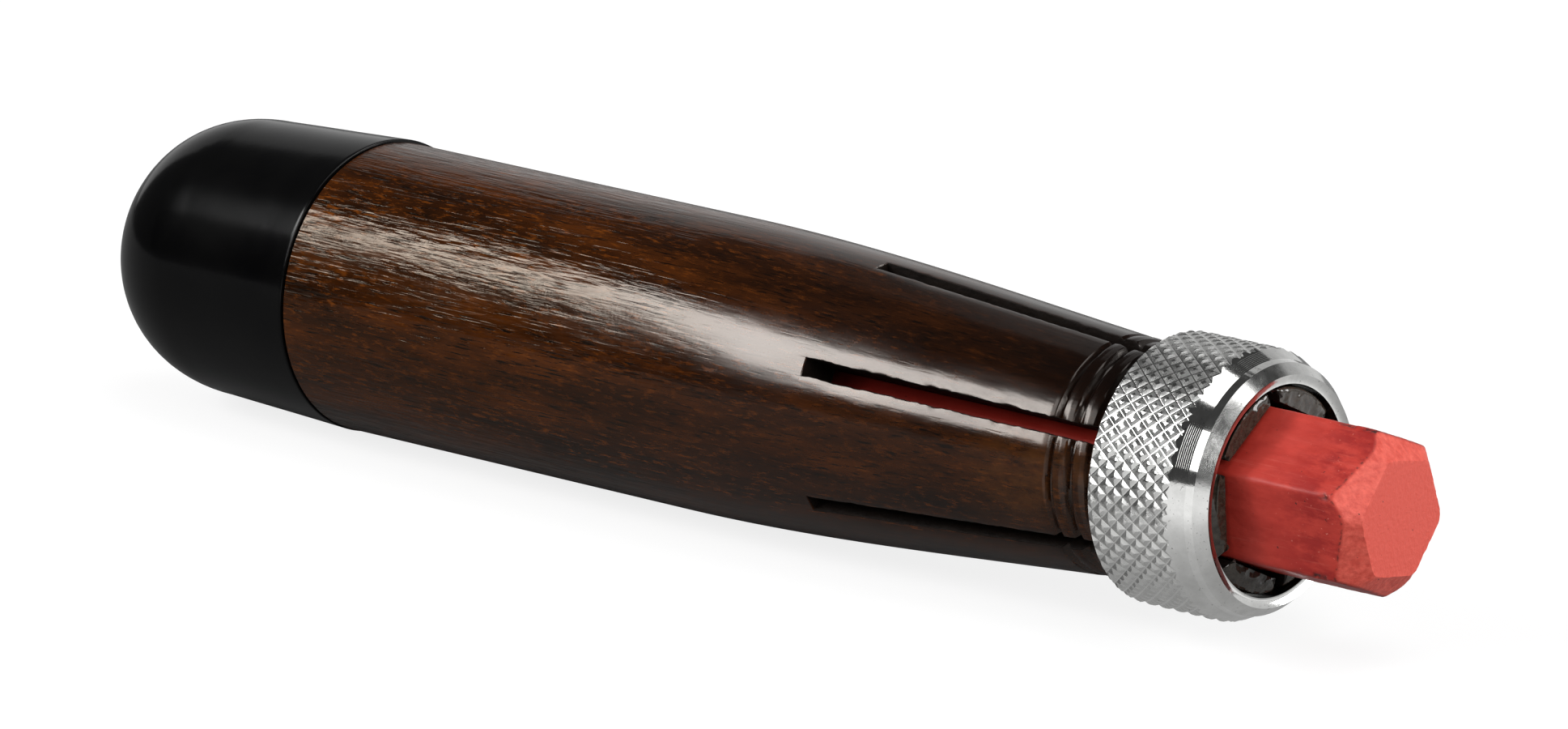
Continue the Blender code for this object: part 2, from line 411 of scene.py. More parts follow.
def handle_radius(x):
    """Turned outline of the handle: grip, curved taper, conical nose."""
    grip = GRIP_RADIUS + (GRIP_END_RADIUS - GRIP_RADIUS) * np.clip(x / GRIP_LENGTH, 0, 1)
    t = np.clip((x - GRIP_LENGTH) / TAPER_LENGTH, 0, 1)
    start_slope = (GRIP_END_RADIUS - GRIP_RADIUS) / GRIP_LENGTH * TAPER_LENGTH
    end_slope = -tan(TAPER_END_SLOPE) * TAPER_LENGTH
    taper = (
        GRIP_END_RADIUS * (2 * t**3 - 3 * t**2 + 1)
        + start_slope * (t**3 - 2 * t**2 + t)
        + TAPER_END_RADIUS * (3 * t**2 - 2 * t**3)
        + end_slope * (t**3 - t**2)
    )
    nose_share = np.clip((x - NOSE_START) / NOSE_LENGTH, 0, 1)
    nose = TAPER_END_RADIUS + (NOSE_RADIUS - TAPER_END_RADIUS) * nose_share
    return np.where(x < GRIP_LENGTH, grip, np.where(x < NOSE_START, taper, nose))


def thread_cut(x, angle):
    """Depth of the coarse right-hand thread: narrow grooves between rounded ribs."""
    turn = (x - THREAD_GROOVE) / THREAD_PITCH - (angle - THREAD_GROOVE_ANGLE) / (2 * pi)
    offset = np.abs(turn - np.round(turn))
    groove = smooth((GROOVE_HALF - offset) / GROOVE_FLANK)
    rib = smooth((offset - GROOVE_HALF) / (0.5 - GROOVE_HALF))
    return (THREAD_DEPTH * groove - RIB_CROWN * rib) * smooth((x - THREAD_START) / THREAD_RUN_IN)


def slot_half_width(x):
    share = np.clip((x - SLOT_START) / (NOSE_END - SLOT_START), 0, 1)
    return (SLOT_WIDTH + (SLOT_NOSE_WIDTH - SLOT_WIDTH) * share) / 2


def raggedness(x, slot, side):
    """How far the saw tore the edge of a slot back at this place."""
    spot = Vector([value * step for value, step in zip((x, slot, side), TEAR_STEPS)])
    return SLOT_RAGGEDNESS * max(noise.fractal(spot, *TEAR_NOISE), TEAR_LEAST)


def nose_round(x):
    """How much the jaw ends are rounded off."""
    share = np.clip((x - (NOSE_END - NOSE_CHAMFER)) / NOSE_CHAMFER, 0, 1)
    return NOSE_CHAMFER * (1 - np.sqrt(np.clip(1 - share**2, 0, 1)))


def softened(x, angle):
    """How far sanding and varnish round the skin down towards the slots."""
    from_slot = (angle - SOCKET_ROLL + JAW_STEP / 2) % JAW_STEP - JAW_STEP / 2
    distance = np.abs(from_slot) * handle_radius(x) - slot_half_width(x)
    near = np.clip(1 - distance / EDGE_SOFT_WIDTH, 0, 1)
    return EDGE_SOFTENING * near**2 * smooth((x - SOFT_START) / SOFT_RUN_IN)


def skin_radius(x, angle):
    """Radius of the handle's skin with its thread, softened slots and rounded jaw ends."""
    return handle_radius(x) - thread_cut(x, angle) - softened(x, angle) - nose_round(x)


def slot_edge(x, slot, side):
    """Points from the outer skin round a slot's edge and down its wall to the socket.

    Each is (distance from the slot's middle plane, height along the slot's radius)."""
    half = slot_half_width(x)
    edge_round = EDGE_ROUND + abs(raggedness(x, slot + EDGE_SEED, side)) + nose_round(x) / 2
    from_slot = asin((half + edge_round) / handle_radius(x))
    radius = float(skin_radius(x, SOCKET_ROLL + slot * JAW_STEP + side * from_slot))
    torn = half + raggedness(x, slot, side) + nose_round(x)
    start = torn + edge_round
    top = sqrt(radius**2 - start**2)
    points = []
    for step in range(EDGE_COLUMNS + 1):
        turn = pi / 2 * step / EDGE_COLUMNS
        drop = edge_round * (1 - cos(turn))
        points.append((start - edge_round * sin(turn), top - drop))
    wall_top = top - edge_round
    bore = min(sqrt(BORE_RADIUS**2 - half**2), wall_top - LEAST_WALL)
    for step in range(1, WALL_COLUMNS):
        share = step / (WALL_COLUMNS - 1)
        points.append((torn + (half - torn) * share, wall_top + (bore - wall_top) * share))
    socket = (SOCKET_APOTHEM - half * sin(JAW_STEP / 2)) / cos(JAW_STEP / 2)
    return points + [(half, socket)]


def turn_point(x, slot, across, height):
    """Point at a distance across a slot and a height along its radius."""
    angle = SOCKET_ROLL + slot * JAW_STEP
    y = height * cos(angle) - across * sin(angle)
    z = height * sin(angle) + across * cos(angle)
    return (x, y, z)


def jaw_loop(jaw, x):
    """One cut across a jaw: its skin, a wall, the socket's flat and the other wall."""
    left = [turn_point(x, jaw, q, h) for q, h in slot_edge(x, jaw, 1)]
    right = [turn_point(x, jaw + 1, -q, h) for q, h in slot_edge(x, jaw + 1, -1)]
    angles = angles_between(left[0], right[0], JAW_COLUMNS + 1)
    skin = ring_points(x, skin_radius(x, angles), angles)
    outer = left[1 : EDGE_COLUMNS + 1][::-1] + skin.tolist() + right[1 : EDGE_COLUMNS + 1]
    flat = np.linspace(right[-1], left[-1], OUTER_RUN).tolist()
    return outer + right[EDGE_COLUMNS + 1 : -1] + flat + left[EDGE_COLUMNS + 1 : -1][::-1]


def jaw_places():
    """Where the jaws are cut across: close together over the thread that shows."""
    plain = np.linspace(SLOT_START, THREAD_START, SLOT_ROWS)
    shown = np.linspace(THREAD_START, THREAD_HIDDEN, THREAD_ROWS)[1:]
    hidden = np.linspace(THREAD_HIDDEN, NOSE_END - NOSE_CHAMFER, HIDDEN_ROWS)[1:]
    ends = NOSE_END - NOSE_CHAMFER * (1 - np.array(NOSE_END_SHARES))
    return np.r_[plain, shown, hidden, ends]


def add_jaws(shell):
    """The six jaws; returns the vertex numbers of their cuts."""
    places = jaw_places()
    cuts = []
    for jaw in range(JAWS):
        grid = shell.add([jaw_loop(jaw, float(x)) for x in places])
        side = grid[:-END_ROWS]
        # Painted shade: the slot edges and walls take the near-black sawn finish.
        shell.skin(side[:, : EDGE_COLUMNS + 1], finish=SAWN_SHADED)
        shell.skin(side[:, EDGE_COLUMNS : OUTER_RUN - EDGE_COLUMNS], finish=VARNISHED)
        shell.skin(side[:, OUTER_RUN - EDGE_COLUMNS - 1 : OUTER_RUN], finish=SAWN_SHADED)
        shell.skin(grid[-END_ROWS - 1 :, :OUTER_RUN], finish=SEALED)
        closing = np.c_[grid[:, OUTER_RUN - 1 :], grid[:, :1]]
        shell.skin(closing, finish=SAWN_SHADED)
        add_jaw_end(shell, grid[-1])
        cuts.append(grid)
    return cuts


def add_jaw_end(shell, loop):
    """The lumpy, varnish-sealed end of one jaw."""
    outer = loop[:OUTER_RUN]
    inner = loop[SOCKET_FLAT]
    points = np.array(shell.points)
    across = np.linspace(0, 1, OUTER_RUN)
    blend = smooth(np.minimum(across, 1 - across) / LUMP_MARGIN)[:, None]
    grid = [outer]
    for step in range(1, WALL_COLUMNS):
        left = points[loop[LEFT_WALL[step]]]
        right = points[loop[RIGHT_WALL[step]]]
        share = step / WALL_COLUMNS
        curved = points[outer] * (1 - share) + points[inner] * share
        straight = left + (right - left) * across[:, None]
        row = curved * blend + straight * (1 - blend)
        row[:, 0] += JAW_LUMPS * rough(row, LUMP_SIZE, LUMP_SEED) * blend[:, 0]
        middle = shell.add(row[1:-1])
        grid.append(np.r_[loop[LEFT_WALL[step]], middle, loop[RIGHT_WALL[step]]])
    grid.append(inner)
    shell.skin(grid, finish=SEALED)


def add_slot_ends(shell, cuts):
    """The square rear ends of the slots; returns the loops of the skin and the bore there."""
    points = np.array(shell.points)
    skin_loop = []
    bore_loop = []
    for jaw in range(JAWS):
        before = cuts[jaw - 1][0]
        here = cuts[jaw][0]
        wall = []
        for step in range(WALL_COLUMNS):
            first = before[RIGHT_WALL[step]]
            last = here[LEFT_WALL[step]]
            between = np.linspace(points[first], points[last], GAP_COLUMNS + 1)[1:-1]
            wall.append(np.r_[first, shell.add(between), last])
        shell.skin(wall, finish=SAWN_SHADED)
        left = here[LEFT_WALL[WALL_COLUMNS - 1]]
        right = here[RIGHT_WALL[WALL_COLUMNS - 1]]
        angles = angles_between(points[left], points[right], OUTER_RUN)
        arc = ring_points(points[left][0], BORE_RADIUS, angles)
        seat = np.r_[left, shell.add(arc[1:-1]), right]
        shell.skin([seat, here[SOCKET_FLAT]], finish=SAWN_SHADED)
        skin_loop.append(np.r_[wall[0][1:-1], here[:OUTER_RUN]])
        bore_loop.append(np.r_[wall[-1][1:-1], seat])
    return np.concatenate(skin_loop), np.concatenate(bore_loop)


def loop_angles(shell, loop):
    points = np.array([shell.points[number] for number in loop])
    return np.arctan2(points[:, 2], points[:, 1])


def handle(finishes):
    """Turned handle with spigot, bore, slots, thread and jaws."""
    shell = Shell()
    skin_loop, bore_loop = add_slot_ends(shell, add_jaws(shell))
    angles = loop_angles(shell, skin_loop)
    rows = [skin_loop]
    for x in np.linspace(SLOT_START - EDGE_ROUND, SHOULDER_CHAMFER, GRIP_ROWS):
        rows.append(shell.add(ring_points(x, skin_radius(x, angles), angles)))
    rows.append(shell.add(ring_points(0.0, GRIP_RADIUS - SHOULDER_CHAMFER, angles)))
    shell.skin(rows, closed=True, finish=VARNISHED)
    spigot = [
        (0.0, SPIGOT_FRONT_RADIUS),
        (SPIGOT_END + SPIGOT_CHAMFER, SPIGOT_REAR_RADIUS + SPIGOT_CHAMFER),
        (SPIGOT_END, SPIGOT_REAR_RADIUS),
        (SPIGOT_END, BORE_RADIUS),
    ]
    rear = [rows[-1]] + [shell.add(ring_points(x, r, angles)) for x, r in spigot]
    shell.skin(rear, closed=True, finish=SAWN_SHADED)
    bore_angles = loop_angles(shell, bore_loop)
    middle = shell.add(ring_points((SPIGOT_END + SLOT_START) / 2, BORE_RADIUS, bore_angles))
    shell.skin([rear[-1], middle, bore_loop], closed=True, finish=SAWN_SHADED)
    shell.piece("turned_handle", "handle", finishes, HANDLE_SHARP)


def ring_profile():
    """Places and radii of the bevels' edges, from the knurl to the mouth."""
    x = RING_FRONT - sum(BEVEL_LENGTHS)
    radius = KNURL_RADIUS
    ends = [(x, radius)]
    for length, drop in zip(BEVEL_LENGTHS, BEVEL_DROPS):
        x += length
        radius -= drop
        ends.append((x, radius))
    return ends


def ring_bore(x):
    """The ring's bore follows the nose's cone at a small gap."""
    cone = (NOSE_RADIUS - TAPER_END_RADIUS) / NOSE_LENGTH
    return TAPER_END_RADIUS + cone * (x - NOSE_START) + RING_FIT_GAP


def knurl_height(right, left):
    """Height in a cell of the knurl: hollow lines, four slopes, a crowned top."""
    slopes = []
    hollows = []
    crowns = []
    for offset in (right, left):
        from_line = np.minimum(offset, 1 - offset)
        from_top = (from_line - KNURL_TOP) / (CELL_MIDDLE - KNURL_TOP)
        slopes.append(np.clip((from_line - KNURL_LINE) / (KNURL_TOP - KNURL_LINE), 0, 1))
        hollows.append(1 - np.clip(from_line / KNURL_LINE, 0, 1) ** 2)
        crowns.append(1 - (1 - np.clip(from_top, 0, 1)) ** 2)
    height = KNURL_DEPTH * (np.minimum(*slopes) - 1)
    return height - KNURL_HOLLOW * np.maximum(*hollows) + KNURL_CROWN * crowns[0] * crowns[1]


def knurl_spot(right, left):
    """Place and angle above the facing line at which two numbered knurl lines cross."""
    right_angle = 360 * right / KNURL_RIGHT_STARTS
    left_angle = 360 * left / KNURL_LEFT_STARTS
    along = (right_angle - left_angle) / (KNURL_LEFT_TURN - KNURL_RIGHT_TURN)
    return KNURL_CROSSING + along, KNURL_CROSSING_ANGLE + right_angle + KNURL_RIGHT_TURN * along


def knurl_cells(first, last):
    """Numbers of the knurl's cells with their middles between two places, once round."""
    reach = np.arange(-KNURL_SPARE_LINES, KNURL_RIGHT_STARTS + KNURL_LEFT_STARTS)
    right, left = [numbers.ravel() for numbers in np.meshgrid(reach, reach)]
    x, above = knurl_spot(right + CELL_MIDDLE, left + CELL_MIDDLE)
    turn = above - KNURL_CROSSING_ANGLE
    kept = (x > first) & (x < last) & (turn >= 0) & (turn < 360)
    return list(zip(right[kept], left[kept]))


def cell_faces(heights):
    """Corners of one cell's faces, bent ones split along the ridge, and whether each slopes."""
    faces = []
    last = len(heights) - 1
    for a in range(last):
        for b in range(last):
            corners = [(a, b), (a + 1, b), (a + 1, b + 1), (a, b + 1)]
            h = [heights[corner] for corner in corners]
            slopes = max(h) - min(h) > 2 * KNURL_CROWN
            if abs(h[0] + h[2] - h[1] - h[3]) < KNURL_FLATNESS:
                faces.append((corners, slopes))
                continue
            if abs(h[0] - h[2]) < abs(h[1] - h[3]):
                corners = corners[1:] + corners[:1]
            faces.append((corners[:3], slopes))
            faces.append((corners[:1] + corners[2:], slopes))
    return faces


def unrolled_knurl(first, last):
    """The knurl laid flat, as points of (place, angle above the facing line, radius)."""
    half = np.array([0, KNURL_LINE / 2, KNURL_LINE, KNURL_TOP, (KNURL_TOP + CELL_MIDDLE) / 2])
    steps = np.r_[half, CELL_MIDDLE, 1 - half[::-1]]
    right, left = np.meshgrid(steps, steps, indexing="ij")
    heights = knurl_height(right, left)
    faces = cell_faces(heights)
    flat = bmesh.new()
    for right_number, left_number in knurl_cells(first, last):
        x, above = knurl_spot(right_number + right, left_number + left)
        corner = {}
        for spot in np.ndindex(x.shape):
            corner[spot] = flat.verts.new((x[spot], above[spot], KNURL_RADIUS + heights[spot]))
        for spots, slopes in faces:
            made = flat.faces.new([corner[spot] for spot in spots])
            made.material_index = KNURLED if slopes else BURNISHED
    return flat


def add_knurl(shell):
    """The knurl between the rear chamfer and the first bevel; returns its rear and front rims."""
    first_bevel = ring_profile()[0][0]
    cell = 360 / KNURL_LEFT_STARTS / (KNURL_RIGHT_TURN - KNURL_LEFT_TURN)
    bm = unrolled_knurl(RING_REAR - 2 * cell, first_bevel + 2 * cell)
    rear_cut = ((RING_REAR, 0, KNURL_RADIUS - KNURL_EDGE), (-1, 0, 1))
    front_cut = ((first_bevel, 0, KNURL_RADIUS), (BEVEL_SLOPE, 0, 1))
    for spot, outward in (rear_cut, front_cut):
        geometry = bm.verts[:] + bm.edges[:] + bm.faces[:]
        bmesh.ops.bisect_plane(bm, geom=geometry, plane_co=spot, plane_no=outward, clear_outer=True)
    for vert in bm.verts:
        x, above, radius = vert.co
        angle = radians(FACING_ANGLE - above)
        vert.co = (x, radius * cos(angle), radius * sin(angle))
    bmesh.ops.remove_doubles(bm, verts=bm.verts, dist=KNURL_WELD)
    bm.verts.index_update()
    numbers = shell.add([vert.co[:] for vert in bm.verts])
    for face in bm.faces:
        shell.faces.append([int(numbers[vert.index]) for vert in face.verts])
        shell.finishes.append(face.material_index)
    rims = []
    middle = (RING_REAR + first_bevel) / 2
    ends = [vert for vert in bm.verts if vert.is_boundary]
    for front in (False, True):
        rim = [vert.index for vert in ends if (vert.co.x > middle) == front]
        angles = loop_angles(shell, numbers[rim])
        order = np.argsort(angles)
        rims.append((numbers[rim][order], angles[order]))
    bm.free()
    return rims


def bevel_rows():
    """Places and radii down the three bevels, the first with turning marks, into the mouth."""
    ends = ring_profile()
    (start, top), (edge, _) = ends[:2]
    clear = start + (KNURL_DEPTH + KNURL_HOLLOW) / BEVEL_SLOPE + BEVEL_CLEARANCE
    pitch = (edge - clear) / LATHE_LINES
    rows = [(clear, top - BEVEL_SLOPE * (clear - start))]
    for line in range(LATHE_LINES):
        x = clear + line * pitch
        if line:
            rows.append((x, top - BEVEL_SLOPE * (x - start) - LATHE_DEPTH))
        x += LATHE_LAND * pitch
        rows.append((x, top - BEVEL_SLOPE * (x - start)))
    rows.extend(ends[1:])
    mouth = ends[-1][1]
    bore_front = ring_bore(RING_FRONT - FRONT_DISH)
    for share in MOUTH_SHARES:
        dish = FRONT_DISH * sin(share * pi / 2)
        rows.append((RING_FRONT - dish, mouth + (bore_front - mouth) * share))
    return rows


def locking_ring(finishes):
    """Knurled ring nut with three turned bevels and a dished mouth."""
    shell = Shell()
    (rear_rim, rear_angles), (front_rim, angles) = add_knurl(shell)
    rows = [front_rim]
    profile = bevel_rows()
    for x, radius in profile + [(RING_REAR, ring_bore(RING_REAR))]:
        rows.append(shell.add(ring_points(x, radius, angles)))
    second = profile.index(ring_profile()[1]) + 1
    stops = [0, second, second + 1, second + 2, len(rows) - 1]
    for first, last, finish in zip(stops, stops[1:], (TURNED, POLISHED, SATIN, TURNED)):
        shell.skin(rows[first : last + 1], closed=True, finish=finish)
    rear = shell.add(ring_points(RING_REAR, KNURL_RADIUS - KNURL_EDGE, rear_angles))
    shell.skin([rear_rim, rear], closed=True)
    shell.zip(rear, rear_angles, rows[-1], angles)
    shell.piece("knurled_ring", "locking_ring", finishes, RING_SHARP)


def cap_profile(inset, lip_round):
    """Outline of the cap from its lip to the tip, drawn in by an inset."""
    skirt_rear = CAP_LIP - CAP_SKIRT_LENGTH
    lip = CAP_LIP_RADIUS - inset
    skirt_end = lip - (CAP_SKIRT_LENGTH - CAP_LIP_ROUND) * tan(CAP_SKIRT_DRAFT)
    outline = []
    if lip_round:
        for step in range(CAP_LIP_STEPS, -1, -1):
            turn = pi / 2 * step / CAP_LIP_STEPS
            back = CAP_LIP_ROUND * (1 - sin(turn))
            outline.append((CAP_LIP - back, lip - CAP_LIP_ROUND * (1 - cos(turn))))
    else:
        outline.append((CAP_LIP, lip))
    for share in (CAP_LIP_BAND, *np.linspace(0, 1, CAP_SKIRT_ROWS)[1:]):
        x = CAP_LIP - CAP_LIP_ROUND + (skirt_rear - CAP_LIP + CAP_LIP_ROUND) * share
        outline.append((x, lip + (skirt_end - lip) * share))
    depth = skirt_rear - CAP_TIP - inset
    power = 2 / CAP_DOME_FULLNESS
    for step in range(1, CAP_DOME_ROWS):
        turn = pi / 2 * step / CAP_DOME_ROWS
        x = skirt_rear - depth * sin(turn) ** power
        outline.append((x, skirt_end * cos(turn) ** power))
    return outline


def end_cap(vinyl):
    """Dipped vinyl cap, hollow, with a rounded lip."""
    shell = Shell()
    angles = np.linspace(0, 2 * pi, CAP_COLUMNS, endpoint=False)
    outside = np.stack([ring_points(x, r, angles) for x, r in cap_profile(0.0, True)])
    inside = np.stack([ring_points(x, r, angles) for x, r in cap_profile(CAP_WALL, False)])
    wave = 1 + CAP_WAVE * rough(outside.reshape(-1, 3), CAP_WAVE_SIZE, CAP_WAVE_SEED, 2)
    outside[..., 1:] *= wave.reshape(outside.shape[:2])[..., None]
    for skin in (outside, inside):
        skin[..., 2] += CAP_LIFT * smooth((skin[..., 0] - CAP_TIP) / (CAP_LIP - CAP_TIP))
    outer = shell.add(outside)
    inner = shell.add(inside)
    shell.skin(outer, closed=True)
    shell.skin(inner, closed=True)
    shell.skin([outer[0], inner[0]], closed=True)
    shell.fan(outer[-1], (CAP_TIP, 0.0, 0.0))
    shell.fan(inner[-1], (CAP_TIP + CAP_WALL, 0.0, 0.0))
    shell.piece("dipped_cap", "end_cap", [vinyl], CAP_SHARP)


def hexagon(angles, roll, apothem, power):
    """Radius of a hexagon with slightly rounded corners."""
    total = np.zeros_like(angles)
    for side in range(JAWS):
        flat = roll + (side + 0.5) * JAW_STEP
        total += np.clip(np.cos(angles - flat) / apothem, 0, None) ** power
    return total ** (-1 / power)


def crayon_radius(x, angles):
    """Radius of the hexagonal stick, cut by six shaved facets at the tip."""
    stick = hexagon(angles, CRAYON_ROLL, CRAYON_APOTHEM, CRAYON_EDGE_POWER)
    tip_apothem = CRAYON_APOTHEM - TIP_SHAVE_DEPTH
    shaved = tip_apothem + (CRAYON_TIP - x) * tan(TIP_SHAVE_SLOPE)
    facets = hexagon(angles, CRAYON_ROLL + TIP_SHAVE_TURN + JAW_STEP / 2, shaved, TIP_EDGE_POWER)
    power = CRAYON_EDGE_POWER
    return (stick**-power + facets**-power) ** (-1 / power)


def grid_noise(points, squeeze, size, seed, octaves):
    """Noise over a grid of points, drawn out along the holder by a squeeze below 1."""
    flat = points.reshape(-1, 3) * (squeeze, 1, 1)
    return rough(flat, size, seed, octaves).reshape(points.shape[:-1])


def crayon_wear(points, places, stick, cut):
    """How far the skin is worn in or raised, and how badly the corners are chipped."""
    rubbed = RUB_DEPTH * grid_noise(points, 1.0, 2.4, 8, 4)
    drawn = DRAW_DEPTH * grid_noise(points, 0.3, 0.6, 9, 3)
    torn = TEAR_DEPTH * grid_noise(points, 0.8, 0.7, 4, 4)
    chipped = smooth((grid_noise(points, 0.55, 1.5, 2, 3) + CHIP_SHARE) / CHIP_SOFTNESS)
    near_tip = smooth((places - CHIP_START) / CHIP_RUN_IN)[:, None]
    corner = smooth((stick - CORNER_START) / CORNER_WIDTH) * (1 - cut)
    chips = -CHIP_DEPTH * chipped * near_tip * corner
    worn = smooth((places - WEAR_START) / WEAR_RUN_IN)[:, None]
    wear = (rubbed + drawn * (1 - cut) + torn * cut + chips - WEAR_DEPTH) * worn
    return wear, smooth(-chips / CORNER_WIDTH) * worn


def crayon(wax):
    """Hexagonal wax stick with a worn, shaved tip."""
    shell = Shell()
    angles = np.linspace(0, 2 * pi, CRAYON_COLUMNS, endpoint=False)
    hidden = np.linspace(CRAYON_REAR, SHOWN_START, CRAYON_ROWS[0])[:-1]
    shown = np.linspace(SHOWN_START, SHAVED_START, CRAYON_ROWS[1])
    shaved = np.linspace(SHAVED_START, CRAYON_TIP, CRAYON_ROWS[2])[1:]
    places = np.r_[hidden, shown, shaved]
    radii = np.stack([crayon_radius(x, angles) for x in places])
    stick = crayon_radius(0.0, angles)[None, :]
    cut = smooth((stick - radii) / SHAVED_BLEND)
    points = np.stack([ring_points(x, r, angles) for x, r in zip(places, radii)])
    wear, chipped = crayon_wear(points, places, stick, cut)
    points[..., 1:] *= (1 + wear / radii)[..., None]
    skin = shell.add(points)
    shell.skin(skin, closed=True)
    face = [skin[-1]]
    for share in TIP_SHARES:
        face.append(shell.add(points[-1] * (1, share, share)))
    shell.skin(face, closed=True)
    shell.fan(face[-1], (CRAYON_TIP, 0.0, 0.0))
    shell.fan(skin[0], (CRAYON_REAR, 0.0, 0.0))
    shell.marks = {mark: np.zeros(len(shell.points)) for mark in CRAYON_MARKS}
    shell.marks["shaved"][: cut.size] = cut.ravel()
    shell.marks["shaved"][cut.size : -1] = 1.0
    shell.marks["chipped"][: cut.size] = chipped.ravel()
    shell.marks["tip"][cut.size :] = 1.0
    shell.piece("wax_stick", "crayon", [wax], CRAYON_SHARP)


class Nodes:
    """A node tree under construction."""

    def __init__(self, tree, coordinates):
        self.tree = tree
        self.place = self.node("ShaderNodeTexCoord").outputs[coordinates]

    def node(self, kind, inputs=None, **settings):
        """Add a node with its settings and the values or links of its inputs."""
        made = self.tree.nodes.new(kind)
        for key, value in settings.items():
            setattr(made, key, value)
        for key, value in (inputs or {}).items():
            self.set(made, key, value)
        return made

    def set(self, node, key, value):
        if isinstance(value, bpy.types.NodeSocket):
            self.tree.links.new(value, node.inputs[key])
        else:
            node.inputs[key].default_value = value

    def axis(self, name):
        return self.node("ShaderNodeSeparateXYZ", {"Vector": self.place}).outputs[name]

    def mask(self, value, low, high, start=0.0, end=1.0):
        """The value mapped from low and high to start and end, and held beyond them."""
        inputs = {"Value": value, "From Min": low, "From Max": high, "To Min": start, "To Max": end}
        return self.node("ShaderNodeMapRange", inputs).outputs["Result"]

    def math(self, operation, *values):
        made = self.node("ShaderNodeMath", dict(enumerate(values)), operation=operation)
        return made.outputs["Value"]

    def rays(self, plain, camera, shiny):
        """A glow's plain level, plus more for the camera and for shiny or clear surfaces."""
        path = self.node("ShaderNodeLightPath").outputs
        seen = self.math("MULTIPLY_ADD", path["Is Camera Ray"], camera, plain)
        mirrored = self.math("MULTIPLY_ADD", path["Is Glossy Ray"], shiny, seen)
        return self.math("MULTIPLY_ADD", path["Is Transmission Ray"], shiny, mirrored)


class Finish(Nodes):
    """A material under construction."""

    def __init__(self, name):
        self.material = bpy.data.materials.new(name)
        self.material.use_nodes = True
        super().__init__(self.material.node_tree, "Object")
        self.shader = self.tree.nodes["Principled BSDF"]

    def along(self, first, last, start=0.0, end=1.0, axis="X"):
        """Mask between two places along the holder, or between two levels of another axis."""
        return self.mask(self.axis(axis), first * MM, last * MM, start, end)

    def noise(self, along, across, detail=3.0, roughness=0.6, shift=0.0):
        """Noise whose features have about the given lengths along the holder and across it."""
        scale = [1 / (length * MM) for length in (along, across, across)]
        inputs = {"Vector": self.place, "Scale": scale, "Location": (shift, shift, shift)}
        stretched = self.node("ShaderNodeMapping", inputs).outputs["Vector"]
        inputs = {"Vector": stretched, "Scale": 1.0, "Detail": detail, "Roughness": roughness}
        return self.node("ShaderNodeTexNoise", inputs).outputs["Fac"]

    def ramp(self, value, stops):
        """Colour ramp through (position, colour) stops."""
        made = self.node("ShaderNodeValToRGB", {"Fac": value})
        elements = made.color_ramp.elements
        while len(elements) < len(stops):
            elements.new(0.5)
        for element, (position, colour) in zip(elements, stops):
            element.position = position
            element.color = (*colour, 1.0)
        return made.outputs["Color"]

    def mix(self, share, first, second):
        """Mix of two colours, given as sockets or as red, green and blue."""
        made = self.node("ShaderNodeMix", data_type="RGBA")
        self.set(made, 0, share)
        for key, colour in ((6, first), (7, second)):
            self.set(made, key, (*colour, 1.0) if isinstance(colour, tuple) else colour)
        return made.outputs[2]

    def multiply(self, first, second):
        return self.math("MULTIPLY", first, second)

    def bump(self, height, depth, strength=1.0, normal=None):
        inputs = {"Height": height, "Distance": depth * MM, "Strength": strength}
        if normal is not None:
            inputs["Normal"] = normal
        return self.node("ShaderNodeBump", inputs).outputs["Normal"]

    def done(self, **inputs):
        for key, value in inputs.items():
            self.set(self.shader, key.replace("_", " "), value)
        return self.material


def walnut_colour(f, pore_noise):
    """Stain with orange flecks and black pores, worn at the thread; darker to the front, with
    painted shade on top.
    """
    bands = f.noise(14.0, 2.4, 4.0, 0.6)
    dark, middle, light = (0.009, 0.0027, 0.0008), (0.03, 0.0075, 0.001), (0.07, 0.0175, 0.002)
    stain = f.ramp(bands, [(0.3, dark), (0.5, middle), (0.72, light)])
    fleck_noise = f.noise(1.5, 0.34, 5.0, 0.7, 3.7)
    patches = f.mask(f.noise(16.0, 6.0, 2.0, 0.5, 7.7), 0.3, 0.65)
    flecks = f.multiply(f.mask(fleck_noise, 0.53, 0.68), f.mask(patches, -0.3, 1.0))
    colour = f.mix(flecks, stain, (0.165, 0.042, 0.0038))
    colour = f.mix(f.mask(pore_noise, 0.56, 0.66), colour, (0.0035, 0.0014, 0.0007))
    # Painted shade: the darkening towards the front is stronger on the upper side than underneath.
    upper_side_shade = f.along(-1, 8, 0.4, 1.25, axis="Z")
    colour = f.mix(f.multiply(f.along(24, 102), upper_side_shade), colour, (0.0035, 0.0013, 0.0007))
    worn = f.multiply(f.along(75, 84), f.along(-9.0, -10.3, axis="Y"))
    worn = f.multiply(worn, f.mask(f.noise(3.0, 1.4, 4.0, 0.6, 4.4), 0.36, 0.66))
    return f.mix(worn, colour, (0.09, 0.031, 0.006))


